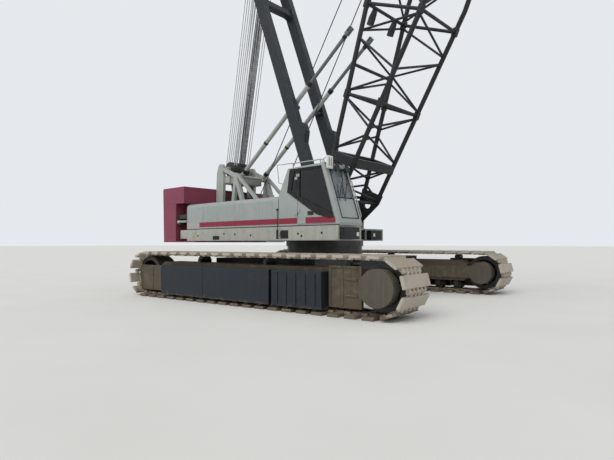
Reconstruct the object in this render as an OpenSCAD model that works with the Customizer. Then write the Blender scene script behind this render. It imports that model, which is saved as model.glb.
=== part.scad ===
// Crawler crane with a lattice boom, a live mast and telescopic backstops.
// X points forward, Y to the left and Z up. The origin is on the ground under the swing axis.
// Upper-works shapes are drawn square to the machine and turned by the slew angle.

/* [Slew and boom angles] */
// Turn of the upper works on the tracks, degrees
slew = -5.5; // [-30:0.5:30]
// Angle of the boom above level, degrees
boom_angle = 67; // [60:0.5:72]
// Angle of the live mast above level, measured from the front, degrees
mast_angle = 110.5; // [106:0.5:114]
// Angle of the backstop tubes above level, degrees
stop_angle = 38; // [37:0.5:40]

/* [Tracks] */
// Overall length of one track
track_len = 7200; // [6800:10:7800]
// Height of a track over its shoes
track_h = 1030; // [980:10:1100]
// Distance between the two track centres
track_gauge = 5030; // [4800:10:5400]
// Width of a track shoe
shoe_w = 950; // [850:10:1000]
// Number of shoes in one track
shoe_count = 46; // [40:1:52]
// Length of the flat pad of a shoe
pad_l = 268; // [230:1:280]
// Thickness of the pad
pad_t = 55; // [40:1:60]
// Depth of the hinge fingers from the ground face of the pad
finger_depth = 88; // [75:1:95]
// Number of rows of hinge fingers across a shoe
finger_rows = 4; // [2:1:6]
// Width of one row of fingers
finger_w = 118; // [80:1:130]

/* [Track frames] */
// Width of a track frame beam
beam_w = 460; // [400:10:520]
// Height of the underside of the beam
beam_z0 = 300; // [280:5:340]
// Height of the top of the beam
beam_z1 = 800; // [760:5:820]
// Radius of a track roller
roller_r = 105; // [90:1:110]
// Number of track rollers on each side
roller_count = 11; // [8:1:12]
// Radius of the final drive cover
cover_r = 305; // [260:5:330]
// Reach of the side boxes beyond the shoes
box_proud = 10; // [0:1:30]
// Height of the underside of the side boxes
box_z0 = 105; // [100:5:160]
// Height of the top of the side boxes
box_z1 = 740; // [700:5:760]

/* [Carbody] */
// Half spacing of the two axle beams
axle_x = 1050; // [900:10:1200]
// Width of an axle beam
axle_w = 620; // [500:10:700]
// Height of the top of the axle beams
axle_z1 = 900; // [850:10:950]
// Radius of the swing bearing
bearing_r = 900; // [800:10:1000]

/* [Deck and house] */
// Half width of the upper works
half_w = 1577; // [1500:1:1700]
// Underside of the deck
deck_z0 = 1280; // [1250:5:1300]
// Top of the deck
deck_z1 = 1575; // [1550:5:1600]
// Rear end of the deck
deck_x0 = -3500; // [-3600:10:-3400]
// Front end of the deck on the cab side
deck_x1 = 1710; // [1650:10:1800]
// Front end of the deck on the left side
left_x1 = 620; // [500:10:700]
// Front end of the middle of the deck, behind the boom foot
mid_x1 = 560; // [540:5:570]
// Thickness of the deck plates
plate_t = 30; // [20:1:40]
// Top of the side houses
house_z = 2254; // [2200:1:2300]
// Front end of the right house, at the seam with the cab
seam_x = 20; // [0:5:40]
// Width of each side house
house_w = 900; // [850:10:905]
// Wall of the side houses
house_t = 30; // [20:1:40]
// Radius of the rounded top edge of a house
house_r = 110; // [60:5:160]

/* [Counterweight] */
// Rear face of the counterweight
cw_x0 = -4580; // [-4800:10:-4500]
// Front face of its upper block
cw_x1 = -3540; // [-3600:10:-3520]
// Width of the counterweight
cw_w = 3310; // [3200:10:3400]
// Top of the counterweight
cw_z1 = 2740; // [2600:10:2800]
// Underside of the counterweight
cw_z0 = 1245; // [1240:5:1300]

/* [Cab] */
// Top of the cab
cab_z1 = 2850; // [2800:5:2900]
// Inner side of the cab, measured from the centre line
cab_in = 852; // [850:1:870]
// Wall of the cab
cab_t = 40; // [30:1:50]
// Rear edge of the cab door
door_x0 = 600; // [580:5:640]
// Gap round the door
door_gap = 8; // [6:1:15]
// Thickness of the window glass
glass_t = 8; // [6:1:12]

/* [Boom] */
// Length of the boom from its foot pin to its point shaft
boom_len = 15240; // [14500:10:16000]
// Length of the butt section
butt_len = 6100; // [6000:10:6300]
// Half spacing of the boom chords across the machine
chord_y = 717; // [700:1:720]
// Diameter of a chord
chord_d = 102; // [90:1:110]
// Diameter of a lacing
lace_d = 50; // [40:1:60]
// Distance of the boom point shaft in front of the boom's middle line
point_drop = 300; // [280:5:320]
// Radius of the boom point sheaves
sheave_r = 330; // [300:5:340]
// Radius of the jib pin holes in the boom head
jib_pin_r = 30; // [25:1:35]
// Radius of the boom and mast foot pins
foot_pin_r = 45; // [40:1:50]

/* [Mast] */
// Length of the live mast
mast_len = 7800; // [7500:10:8200]
// Half spacing of the mast legs
leg_y = 560; // [555:1:565]
// Thickness of a leg across the machine
leg_w = 170; // [150:1:175]
// Depth of a leg
leg_d = 290; // [240:5:320]

/* [Gantry and backstops] */
// Height of the gantry apex pins
apex_z = 3047; // [3000:1:3100]
// Place of the gantry apex pins along the machine
apex_x = -2690; // [-2750:5:-2600]
// Half spacing of the backstops
stop_y = 385; // [380:1:390]
// Outer radius of a backstop tube
stop_r = 56; // [50:1:58]
// Radius of the rod in a backstop
rod_r = 42; // [38:1:44]
// Length of a backstop from its pin to its fork
stop_len = 4800; // [4700:10:4850]
// Length of the outer tube of a backstop
tube_len = 3300; // [3200:10:3500]

/* [Hook] */
// Drop of the hook block axle below the boom point shaft
hook_drop = 800; // [700:10:900]

/* [Hidden] */
$fn = 48;
// Running clearance of a pin in its bore
fit_gap = 0.05;
// Gap between seated pieces on different bodies
seat_gap = 0.3;
wheel_x = track_len / 2 - track_h / 2;
wheel_z = track_h / 2;
// Distance from a hinge pin to the ground face of the shoe
pin_to_face = 60;
pin_line_r = track_h / 2 - pin_to_face;
// Lap of the fingers of neighbouring shoes, and their depth below the ground face
link_lap = 6;
finger_low = 15;
loop_run = 2 * wheel_x;
loop_len = 2 * loop_run + 2 * PI * pin_line_r;
shoe_pitch = loop_len / shoe_count;
// The wheels reach the middle of the inner face of a shoe
wheel_r = pin_line_r * cos(shoe_pitch / pin_line_r / PI * 90) - finger_depth + pin_to_face - seat_gap;
// Half length of the beam between the two wheels
beam_x = wheel_x - wheel_r - 15;
shoe_out = track_gauge / 2 + shoe_w / 2;
beam_out = track_gauge / 2 + beam_w / 2;
beam_in = track_gauge / 2 - beam_w / 2;
bearing_z0 = axle_z1 + 60;
bearing_z1 = 1150;
foot_x = 450;
foot_z = 1750;
cab_out = half_w;
// Distance of the last frame of a section from its joint
end_in = chord_d / 2 + 6 + seat_gap / 2;
// Distance of a lacing's foot from its panel point, and from the chord's centre line
lace_off = 75;
lace_in = chord_d * 0.36;

// Turns what it holds with the upper works
module upper() rotate([0, 0, slew]) children();

// Extrudes a side view drawn in X and Z, from y0 to y1
module side(y0, y1) translate([0, y1, 0]) rotate([90, 0, 0]) linear_extrude(y1 - y0) children();

// A box from its lowest to its highest corner
module block(a, b) translate(a) cube(b - a);

// A round bar between two points
module bar(p, q, d, n = 24) {
    v = q - p;
    translate(p) rotate([0, acos(v.z / norm(v)), atan2(v.y, v.x)]) cylinder(h = norm(v), d = d, $fn = n);
}

// A cylinder across the machine between y0 and y1
module across(x, z, r, y0, y1) translate([x, y1, z]) rotate([90, 0, 0]) cylinder(h = y1 - y0, r = r);

// Hinge pin number i of a track, on the line round both wheels
function pin_at(i) =
    let (s = (i % shoe_count) * shoe_pitch, arc = PI * pin_line_r,
        s1 = loop_run, s2 = s1 + arc, s3 = s2 + loop_run)
    s < s1 ? [s - wheel_x, wheel_z + pin_line_r] :
    s < s2 ? let (a = (s - s1) / arc * 180)
        [wheel_x + pin_line_r * sin(a), wheel_z + pin_line_r * cos(a)] :
    s < s3 ? [wheel_x - (s - s2), wheel_z - pin_line_r] :
    let (a = (s - s3) / arc * 180)
        [-wheel_x - pin_line_r * sin(a), wheel_z - pin_line_r * cos(a)];

// Places what it holds on each shoe, midway between its two pins, with the ground face up
module each_shoe() for (i = [0 : shoe_count - 1]) {
    p = pin_at(i);
    q = pin_at(i + 1);
    translate((p + q) / 2) rotate(atan2(q.y - p.y, q.x - p.x)) children();
}
module track(y) translate([0, y, 0]) {
    side(-shoe_w / 2, shoe_w / 2) each_shoe()
        translate([-pad_l / 2, pin_to_face - pad_t]) square([pad_l, pad_t]);
    row_step = shoe_w / finger_rows;
    for (k = [0 : finger_rows - 1]) {
        y0 = -shoe_w / 2 + (k + 0.5) * row_step - finger_w / 2;
        side(y0, y0 + finger_w) each_shoe()
            translate([-shoe_pitch / 2 - link_lap, pin_to_face - finger_depth])
                square([shoe_pitch + 2 * link_lap, finger_depth - finger_low]);
    }
}
module track_right() color("#a89c8c") track(-track_gauge / 2);
module track_left() color("#a89c8c") track(track_gauge / 2);

// Side view of a frame beam, with its forked ends
module beam_outline() polygon([[-beam_x, beam_z0 + 60], [-beam_x + 90, beam_z0],
    [beam_x - 90, beam_z0], [beam_x, beam_z0 + 60], [beam_x, beam_z1 - 90],
    [beam_x - 140, beam_z1], [-beam_x + 140, beam_z1], [-beam_x, beam_z1 - 90]]);
module track_frame(s) {
    fork_t = 40;
    fork_z0 = wheel_z - 150;
    fork_z1 = wheel_z + 150;
    side(s * track_gauge / 2 - beam_w / 2, s * track_gauge / 2 + beam_w / 2) beam_outline();
    for (y = [beam_in - fork_t, beam_out]) {
        y0 = s > 0 ? y : -y - fork_t;
        side(y0, y0 + fork_t) difference() {
            translate([-wheel_x - 140, fork_z0]) square([2 * wheel_x + 280, fork_z1 - fork_z0]);
            for (x = [-wheel_x, wheel_x]) translate([x, wheel_z]) circle(75 + fit_gap);
        }
    }
    // Ledge and stiffeners on the outer face
    for (x = [-2900, -2620, 2150, 2420])
        translate([x, s > 0 ? beam_out : -beam_out - 60, beam_z0 + 20])
            cube([25, 60, beam_z1 - beam_z0 - 120]);
}
module frame_right() color("#4a4338") track_frame(-1);
module frame_left() color("#4a4338") track_frame(1);

// A wheel with a rim, a web with holes and a hub
module holed_wheel(w, holes) rotate([90, 0, 0]) difference() {
    rotate_extrude() {
        square([120, w]);
        translate([0, w / 2 - 40]) square([wheel_r - 20, 80]);
        translate([wheel_r - 90, 0]) square([90, w]);
    }
    for (a = [0 : 360 / holes : 359]) rotate(a) translate([(wheel_r + 40) / 2, 0, -1]) cylinder(h = w + 2, r = 62);
}
wheel_w = beam_w - 2 * seat_gap;
module drive_wheels() color("#3a352c") for (s = [-1, 1]) {
    translate([wheel_x, s * track_gauge / 2 + wheel_w / 2, wheel_z]) holed_wheel(wheel_w, 8);
    across(wheel_x, wheel_z, 75, s * track_gauge / 2 - beam_w / 2 - 40, s * track_gauge / 2 + beam_w / 2 + 40);
}
module idler_wheels() color("#3a352c") for (s = [-1, 1]) {
    translate([-wheel_x, s * track_gauge / 2 + wheel_w / 2, wheel_z]) holed_wheel(wheel_w, 6);
    across(-wheel_x, wheel_z, 75, s * track_gauge / 2 - beam_w / 2 - 40, s * track_gauge / 2 + beam_w / 2 + 40);
}
roller_z = finger_depth + roller_r + seat_gap;
module track_rollers() color("#3a352c") for (s = [-1, 1], i = [0 : roller_count - 1]) {
    span = 2 * wheel_x - 1400;
    x = -span / 2 + i * span / (roller_count - 1);
    across(x, roller_z, roller_r, s * track_gauge / 2 - 150, s * track_gauge / 2 + 150);
    block([x - 50, s * track_gauge / 2 - 200, roller_z - 40], [x + 50, s * track_gauge / 2 + 200, beam_z0]);
    if (i % 4 == 2) {
        across(x, track_h - finger_depth - 65, 65, s * track_gauge / 2 - 120, s * track_gauge / 2 + 120);
        block([x - 40, s * track_gauge / 2 - 160, beam_z1], [x + 40, s * track_gauge / 2 + 160, beam_z1 + 80]);
    }
}

// Side boxes: start and end along the track, and number of ribs
SIDE_BOXES = [[-2320, -935, 0], [-925, 865, 0], [935, 2050, 5]];
box_out = shoe_out + box_proud;
module side_boxes() color("#1a232d") for (s = [-1, 1]) {
    for (b = SIDE_BOXES) {
        y0 = s > 0 ? beam_out + 40 : -box_out;
        block([b[0], y0, box_z0], [b[1], y0 + box_out - beam_out - 40, box_z1]);
        for (i = [0 : 1 : b[2] - 1])
            block([b[0] + 120 + i * 210, s * box_out - 12, box_z0 + 40],
                [b[0] + 150 + i * 210, s * box_out + 12, box_z1 - 40]);
    }
}

module drive_covers() color("#4a4a40") for (s = [-1, 1]) {
    across(wheel_x, wheel_z, cover_r, s > 0 ? beam_out + 40 : -box_out, s > 0 ? box_out : -beam_out - 40);
    across(wheel_x, wheel_z, 260, s > 0 ? beam_in - 300 : -beam_in + 40, s > 0 ? beam_in - 40 : -beam_in + 300);
}

module carbody() color("#22262a") difference() {
    union() {
        for (x = [-axle_x, axle_x])
            block([x - axle_w / 2, -beam_in + 40, axle_z1 - 420], [x + axle_w / 2, beam_in - 40, axle_z1]);
        block([-axle_x, -1000, axle_z1 - 380], [axle_x, 1000, axle_z1]);
        translate([0, 0, axle_z1]) cylinder(h = bearing_z0 - axle_z1, r = bearing_r + 60);
    }
    translate([0, 0, 0]) cylinder(h = bearing_z0 + 1, r = 420);
}

// Lower half of the swing bearing, with its ring of teeth
module swing_ring() color("#2c2c2a") difference() {
    translate([0, 0, bearing_z0]) cylinder(h = bearing_z1 - bearing_z0, r = bearing_r);
    translate([0, 0, bearing_z0 - 1]) cylinder(h = bearing_z1 - bearing_z0 + 2, r = bearing_r - 180);
}

// Upper half of the swing bearing
module turntable() color("#2c2c2a") upper() difference() {
    translate([0, 0, bearing_z1 + seat_gap]) cylinder(h = deck_z0 - bearing_z1 - seat_gap, r = bearing_r + 30);
    translate([0, 0, bearing_z1]) cylinder(h = deck_z0, r = bearing_r - 160);
}

// Girders, cross plates and side skirts of the revolving frame
module deck() color("#a8a89c") upper() {
    girder_y = 620;
    for (s = [-1, 1]) {
        x1 = s < 0 ? deck_x1 : left_x1;
        // Side channel
        y_out = s > 0 ? half_w - plate_t : -half_w;
        block([deck_x0, y_out, deck_z0], [x1, y_out + plate_t, deck_z1 - plate_t]);
        block([deck_x0, s > 0 ? half_w - 160 : -half_w, deck_z0], [x1, s > 0 ? half_w : -half_w + 160, deck_z0 + 20]);
        // Main girder
        y_g = s * girder_y - plate_t;
        block([deck_x0 - 600, y_g, deck_z0], [mid_x1, y_g + 2 * plate_t, deck_z1 - plate_t]);
        // Top plate
        ya = s > 0 ? girder_y + 210 : -half_w;
        yb = s > 0 ? half_w : -girder_y - 210;
        block([deck_x0, ya, deck_z1 - plate_t], [x1, yb, deck_z1]);
        for (x = [deck_x0, -2400, -1300, -200, x1 - plate_t])
            block([x, ya, deck_z0], [x + plate_t, yb, deck_z1 - plate_t]);
    }
    block([deck_x0, -girder_y - 210, deck_z1 - plate_t], [mid_x1, girder_y + 210, deck_z1]);
    block([-bearing_r - 100, -bearing_r - 50, deck_z0], [mid_x1, bearing_r + 50, deck_z0 + plate_t]);
    // Lugs that carry the boom and the mast
    for (s = [-1, 1], y = [425, 782])
        side(s > 0 ? y : -y - 40, s > 0 ? y + 40 : -y) difference() {
            union() {
                translate([foot_x, foot_z]) circle(125);
                polygon([[foot_x - 330, deck_z1], [foot_x + 110, deck_z1], [foot_x + 122, foot_z], [foot_x - 122, foot_z]]);
            }
            translate([foot_x, foot_z]) circle(foot_pin_r + fit_gap);
        }
}
module foot_pins() color("#3a3a38") upper() for (s = [-1, 1])
    across(foot_x, foot_z, foot_pin_r, s > 0 ? 420 : -827, s > 0 ? 827 : -420);

// Cross section of the right house, its outer top edge rounded
module house_section(w, h, r) difference() {
    square([w, h]);
    difference() {
        translate([-1, h - r]) square([r + 1, r + 1]);
        translate([r, h - r]) circle(r);
    }
}
module house(len) difference() {
    rotate([90, 0, 90]) linear_extrude(len) house_section(house_w, house_z - deck_z1, house_r);
    translate([house_t, house_t, -1]) rotate([90, 0, 90])
        linear_extrude(len - 2 * house_t) house_section(house_w - 2 * house_t, house_z - deck_z1 + 1 - house_t, house_r - house_t);
}
module house_right() color("#8f9a98") upper()
    translate([deck_x0, -half_w, deck_z1]) house(seam_x - deck_x0);
module house_left() color("#8f9a98") upper()
    translate([deck_x0, 0, 0]) mirror([0, 1, 0]) translate([0, -half_w, deck_z1]) house(seam_x - deck_x0);
module engine() color("#4a4a48") upper()
    block([-2600, half_w - house_w + 120, deck_z1], [-1100, half_w - 150, house_z - 120]);

module counterweight() color("#7d3048") upper() {
    lower_x1 = -3920;
    ledge_z = 2290;
    difference() {
        side(-cw_w / 2, cw_w / 2) polygon([[cw_x0 + 60, cw_z0], [lower_x1, cw_z0], [lower_x1, ledge_z],
            [cw_x1, ledge_z], [cw_x1, cw_z1], [cw_x0 + 25, cw_z1], [cw_x0, cw_z1 - 60]]);
        for (s = [-1, 1])
            block([deck_x0 - 601, s * 620 - 60, deck_z0 - 50], [lower_x1 + 1, s * 620 + 60, deck_z1 - plate_t + seat_gap]);
    }
}

// A flat strut between two points of a side view
module strut(p, q, w) {
    v = q - p;
    translate(p) rotate(atan2(v.y, v.x)) translate([0, -w / 2]) square([norm(v), w]);
}
head_x = -3330;
head_z = 3330;
gantry_y = 560;
module gantry() color("#9aa09c") upper() {
    foot_t = 25;
    for (s = [-1, 1]) side(s * gantry_y - 45, s * gantry_y + 45) {
        strut([-2130, deck_z1 + foot_t - 3], [apex_x, apex_z], 110);
        strut([-2900, deck_z1 + foot_t - 3], [apex_x, apex_z], 110);
        strut([-3390, deck_z1 + foot_t - 3], [head_x, head_z], 130);
        for (x = [-2130, -2900, -3390]) translate([x - 90, deck_z1]) square([180, foot_t]);
        strut([apex_x, apex_z], [head_x, head_z], 100);
        translate([apex_x, apex_z]) circle(90);
        translate([head_x, head_z]) circle(110);
    }
    across(apex_x, apex_z, 40, -gantry_y, gantry_y);
    across(head_x, head_z, 60, -gantry_y, gantry_y);
    block([-3300, -gantry_y, 2900], [-2980, gantry_y, 3060]);
}
module gantry_sheaves() color("#15171a") upper() for (i = [-3 : 3])
    difference() {
        across(head_x, head_z, 240, i * 105 - 40, i * 105 + 40);
        across(head_x, head_z, 60 + fit_gap, i * 105 - 50, i * 105 + 50);
    }

// Winches: place along the machine, height, drum radius
WINCHES = [[-500, 1930, 250], [-1400, 1930, 250], [-2420, 1850, 180]];
module winch_drums() color("#2b2b29") upper() for (w = WINCHES) {
    across(w[0], w[1], w[2] - 60, -430, 430);
    across(w[0], w[1], 60, -510, 510);
    for (y = [-430, 400]) across(w[0], w[1], w[2] + 60, y, y + 30);
}
module winch_frames() color("#6d2b40") upper() for (w = WINCHES, y = [-500, 450])
    side(y, y + 50) difference() {
        union() {
            translate([w[0], w[1]]) circle(w[2]);
            translate([w[0] - w[2], deck_z1]) square([2 * w[2], w[1] - deck_z1]);
        }
        translate([w[0], w[1]]) circle(60 + fit_gap);
    }

// Side view of the cab
CAB_SIDE = [[seam_x + 20, deck_z1], [1745, deck_z1], [1745, 1640], [1340, cab_z1], [320, cab_z1 - 30], [40, 2270]];
// Windows in side view: rear quarter and door
REAR_PANE = [[400, 2310], [door_x0 - 50, 2235], [door_x0 - 50, 2760], [500, 2770]];
DOOR_PANE = [[door_x0 + 60, 2190], [1580, 1790], [1250, 2760], [door_x0 + 60, 2760]];
DOOR = [[door_x0, deck_z1 + 40], [1640, deck_z1 + 40], [1640, 1700], [1270, 2800], [door_x0, 2800]];
module cab_shell() color("#8f9a98") upper() difference() {
    union() {
        side(-cab_out, -cab_in) polygon(CAB_SIDE);
        for (z = HINGES) knuckle(z, -1);
    }
    for (z = HINGES) translate([door_x0, hinge_y, z - 1]) cylinder(h = 61, r = hinge_pin_r + fit_gap);
    side(-cab_out + cab_t, -cab_in - cab_t) offset(delta = -cab_t) polygon(CAB_SIDE);
    side(-cab_out - 1, -cab_out + cab_t + 1) polygon(DOOR);
    side(-cab_out - 1, -cab_out + cab_t + 1) polygon(REAR_PANE);
    side(-cab_in - cab_t - 1, -cab_in + 1) polygon([[250, 2280], [1500, 1800], [1250, 2760], [420, 2760]]);
    // Windscreen
    translate([1745, 0, 1640]) rotate([0, -18.5, 0])
        block([-120, -cab_out + 110, 90], [120, -cab_in - 70, 1180]);
}
module cab_glass() color("#30404a80") upper() {
    side(-cab_out + 12, -cab_out + 12 + glass_t) polygon(REAR_PANE);
    side(-cab_in - 20, -cab_in - 20 + glass_t) polygon([[250, 2280], [1500, 1800], [1250, 2760], [420, 2760]]);
    translate([1745, 0, 1640]) rotate([0, -18.5, 0])
        block([-30, -cab_out + 110, 90], [-30 + glass_t, -cab_in - 70, 1180]);
}
// Hinges of the door: height of the foot of each pin, radius of pin and knuckle
HINGES = [1800, 2560];
hinge_y = -cab_out - 18;
hinge_pin_r = 8;
knuckle_r = 14;
module knuckle(z, sx) {
    translate([door_x0, hinge_y, z]) cylinder(h = 58, r = knuckle_r);
    block([sx < 0 ? door_x0 - 70 : door_x0, hinge_y + 4, z], [sx < 0 ? door_x0 : door_x0 + 70, -cab_out + 5, z + 58]);
}
module door_leaf() offset(delta = -door_gap) polygon(DOOR);
module cab_door() color("#8f9a98") upper() {
    difference() {
        side(-cab_out, -cab_out + cab_t) door_leaf();
        side(-cab_out - 1, -cab_out + cab_t + 1) polygon(DOOR_PANE);
    }
    for (z = HINGES) {
        translate([door_x0, hinge_y, z]) cylinder(h = 118, r = hinge_pin_r);
        knuckle(z + 60, 1);
    }
}
module door_glass() color("#30404a80") upper()
    side(-cab_out + 12, -cab_out + 12 + glass_t) polygon(DOOR_PANE);

module seat() color("#2b2b2b") upper() {
    block([500, -1440, deck_z1 + cab_t], [900, -1000, 1900]);
    block([430, -1440, deck_z1 + cab_t], [540, -1000, 2450]);
}
module console() color("#3a3a3a") upper()
    block([1210, -1450, deck_z1 + cab_t], [1420, -1100, 2000]);
function roof_z(x) = cab_z1 - (1340 - x) * 30 / 1020;
module cab_mirror() color("#e8e8e4") upper() {
    block([1480, -cab_out - 100, 2700], [1520, -cab_out + 80, 2960]);
    bar([1250, -cab_out + 60, roof_z(1250) + 12], [1490, -cab_out + 40, 2940], 25);
}
module step_boxes() color("#101214") upper() {
    block([deck_x1, -half_w + 40, deck_z0 + 20], [deck_x1 + 140, -half_w + 500, deck_z1 - 40]);
    block([left_x1, 860, deck_z0 + 20], [left_x1 + 140, 1320, deck_z1 - 40]);
}
module roof_rail() color("#8a8a86") upper() {
    for (x = [420, 1200]) bar([x, -cab_out + 60, roof_z(x) + 0.7], [x, -cab_out + 60, cab_z1 + 90], 25);
    bar([420, -cab_out + 60, cab_z1 + 80], [1200, -cab_out + 60, cab_z1 + 80], 25);
}

// Boom stations: distance from the foot, rear chord, front chord, half width
insert_end = 10200;
STATIONS = [[600, 60, -354, chord_y], [5100, 566, -906, chord_y], [insert_end, 566, -906, chord_y],
    [boom_len - 500, 160, -330, 430]];
function between(a, b, t) = a + (b - a) * t;
function station(s) = let (k = max([for (i = [0 : len(STATIONS) - 2]) if (STATIONS[i][0] <= s) i]),
    a = STATIONS[k], b = STATIONS[k + 1]) between(a, b, (s - a[0]) / (b[0] - a[0]));
// Corner of the boom at distance s: side is -1 or 1, face 1 is the rear and 2 the front
function corner(s, sd, face) = let (q = station(s)) [s, sd * q[3], q[face]];
// Moves what it holds from the boom's own axes to its place at rest
module on_boom() upper() translate([foot_x, 0, foot_z]) rotate([0, -boom_angle, 0]) children();
module on_mast() upper() translate([foot_x, 0, foot_z]) rotate([0, -mast_angle, 0]) children();

// A lacing, its ends set just inside the two chords
module lacing(p, q) {
    u = (q - p) / norm(q - p);
    bar(p + u * lace_in, q - u * lace_in, lace_d, 8);
}
module lattice(nodes) {
    n = len(nodes);
    ends = [nodes[0], each [for (q = STATIONS) if (q[0] > nodes[0] && q[0] < nodes[n - 1]) q[0]], nodes[n - 1]];
    // Chords, with a knuckle where they change direction
    for (sd = [-1, 1], face = [1, 2]) {
        for (i = [0 : len(ends) - 2]) bar(corner(ends[i], sd, face), corner(ends[i + 1], sd, face), chord_d);
        for (s = ends) translate(corner(s, sd, face)) sphere(d = chord_d + 12, $fn = 32);
    }
    // Lacings on the four faces, one diagonal a bay
    for (i = [0 : n - 2]) {
        e = i % 2 == 0 ? 1 : 2;
        s0 = nodes[i] + lace_off;
        s1 = nodes[i + 1] - lace_off;
        for (sd = [-1, 1]) lacing(corner(s0, sd, e), corner(s1, sd, 3 - e));
        for (face = [1, 2]) {
            g = i % 2 == 0 ? 1 : -1;
            lacing(corner(s0, g, face), corner(s1, -g, face));
        }
    }
    // Square frames at both ends
    for (s = [nodes[0], nodes[n - 1]]) {
        for (face = [1, 2]) bar(corner(s, -1, face), corner(s, 1, face), chord_d * 0.7);
        for (sd = [-1, 1]) bar(corner(s, sd, 1), corner(s, sd, 2), chord_d * 0.7);
    }
}
BUTT_NODES = [600, 1450, 2300, 3150, 4100, 5100, butt_len - end_in];
INSERT_NODES = [butt_len + end_in, 7100, 8140, 9180, insert_end - end_in];
TIP_NODES = [insert_end + end_in, 11300, 12400, 13500, boom_len - 500];
lug_s = 4390;
module boom_foot(s) {
    y0 = s > 0 ? 662 : -777;
    difference() {
        union() {
            side(y0, y0 + 115) circle(118);
            side(s * chord_y - 30, s * chord_y + 30)
                polygon([[-20, 110], [640, 110], [900, 95], [900, -391], [640, -400], [20, -115]]);
        }
        across(0, 0, foot_pin_r + fit_gap, y0 - 1, y0 + 116);
        across(520, -130, 110, -1000, 1000);
    }
}
module boom_butt() color("#14181a") on_boom() {
    lattice(BUTT_NODES);
    for (s = [-1, 1]) boom_foot(s);
    // Dark spreader beam between the chords
    beam_n = station(1470)[1];
    block([1400, -chord_y, beam_n - 70], [1540, chord_y, beam_n + 50]);
    // Lugs that meet the backstops
    for (s = [-1, 1]) block([lug_s - 80, s * stop_y - 45, 480], [lug_s + 80, s * stop_y + 45, 614]);
    bar(corner(lug_s, -1, 1), corner(lug_s, 1, 1), chord_d);
}
module boom_insert() color("#14181a") on_boom() lattice(INSERT_NODES);
module boom_tip() color("#14181a") on_boom() {
    lattice(TIP_NODES);
    for (s = [-1, 1]) side(s * 430 - 20, s * 430 + 20) difference() {
        polygon([[boom_len - 560, 230], [boom_len - 560, -400], [boom_len - 60, -point_drop - 160],
            [boom_len + 130, -point_drop - 60], [boom_len + 110, 60], [boom_len - 60, 220]]);
        translate([boom_len - 380, 90]) circle(jib_pin_r);
    }
    across(boom_len, -point_drop, 60, -430, 430);
    across(boom_len - 120, 150, 35, -430, 430);
}
module boom_sheaves() color("#2a2a2a") on_boom() for (i = [-2 : 2])
    difference() {
        across(boom_len, -point_drop, sheave_r, i * 140 - 40, i * 140 + 40);
        across(boom_len, -point_drop, 60 + fit_gap, i * 140 - 50, i * 140 + 50);
    }

function turned(v, a) = [v.x * cos(a) - v.z * sin(a), v.y, v.x * sin(a) + v.z * cos(a)];
module pendants() color("#3a3c3c") upper() translate([foot_x, 0, foot_z]) for (s = [-1, 1]) {
    a = turned([mast_len, s * 430, 0], mast_angle);
    b = turned([boom_len - 120, s * 360, 150], boom_angle);
    difference() {
        union() {
            bar(a, b, 45, 12);
            across(a.x, a.z, 105, a.y - 30, a.y + 30);
            across(b.x, b.z, 75, b.y - 30, b.y + 30);
        }
        across(a.x, a.z, 60 + fit_gap, a.y - 31, a.y + 31);
        across(b.x, b.z, 35 + fit_gap, b.y - 31, b.y + 31);
    }
}

// Distance and angle of the gantry apex from the foot pin, the angle taken from the mast
rest_d = norm([apex_x - foot_x, apex_z - foot_z]);
rest_a = atan2(apex_z - foot_z, apex_x - foot_x) - mast_angle;
// Round rest on the mast, just below the backstop tube
rest_r = 60;
rest_gap = 5.5;
rest_drop = stop_r + rest_gap + rest_r;
rest_s = rest_d * (cos(rest_a) + sin(rest_a) / tan(mast_angle - stop_angle)) - rest_drop * sin(mast_angle - stop_angle);
rest_n = -rest_drop * cos(mast_angle - stop_angle);
module mast() color("#1c2630") on_mast() {
    for (s = [-1, 1]) {
        difference() {
            union() {
                side(s * leg_y - leg_w / 2, s * leg_y + leg_w / 2)
                    polygon([[0, -110], [500, -leg_d / 2], [mast_len - 400, -leg_d / 2], [mast_len + 80, -90],
                        [mast_len + 80, 90], [mast_len - 400, leg_d / 2], [500, leg_d / 2], [0, 110]]);
                across(0, 0, 115, s * leg_y - leg_w / 2, s * leg_y + leg_w / 2);
            }
            across(0, 0, foot_pin_r + fit_gap, s * leg_y - leg_w, s * leg_y + leg_w);
        }
    }
    for (x = [mast_len - 2150, mast_len - 500]) block([x - 110, -leg_y, -100], [x + 110, leg_y, 100]);
    for (s = [-1, 1]) across(rest_s, rest_n, rest_r, s > 0 ? stop_y - 50 : -leg_y, s > 0 ? leg_y : -stop_y + 50);
    across(mast_len, 0, 60, -leg_y, leg_y);
}
module mast_sheaves() color("#15171a") on_mast() for (i = [-3 : 3])
    difference() {
        across(mast_len, 0, 240, i * 105 - 40, i * 105 + 40);
        across(mast_len, 0, 60 + fit_gap, i * 105 - 50, i * 105 + 50);
    }

module on_stop(s) upper() translate([apex_x, s * stop_y, apex_z]) rotate([0, -stop_angle, 0]) children();
module stop_tubes() color("#6b7275") for (s = [-1, 1]) on_stop(s) {
    difference() {
        union() {
            across(0, 0, 85, -45, 45);
            rotate([0, 90, 0]) cylinder(h = tube_len, r = stop_r);
        }
        across(0, 0, 40 + fit_gap, -60, 60);
        translate([130, 0, 0]) rotate([0, 90, 0]) cylinder(h = tube_len, r = rod_r + seat_gap);
    }
}
// Inner end of a rod, measured from the apex pin
rod_x0 = 700;
module stop_rods() color("#5b6265") for (s = [-1, 1]) on_stop(s) {
    translate([rod_x0, 0, 0]) rotate([0, 90, 0]) cylinder(h = stop_len - 100 - rod_x0, r = rod_r);
    for (z = [-45, 22]) block([stop_len - 120, -50, z], [stop_len + 60, 50, z + 23]);
    block([stop_len - 140, -50, -45], [stop_len - 60, 50, 45]);
}

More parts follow.
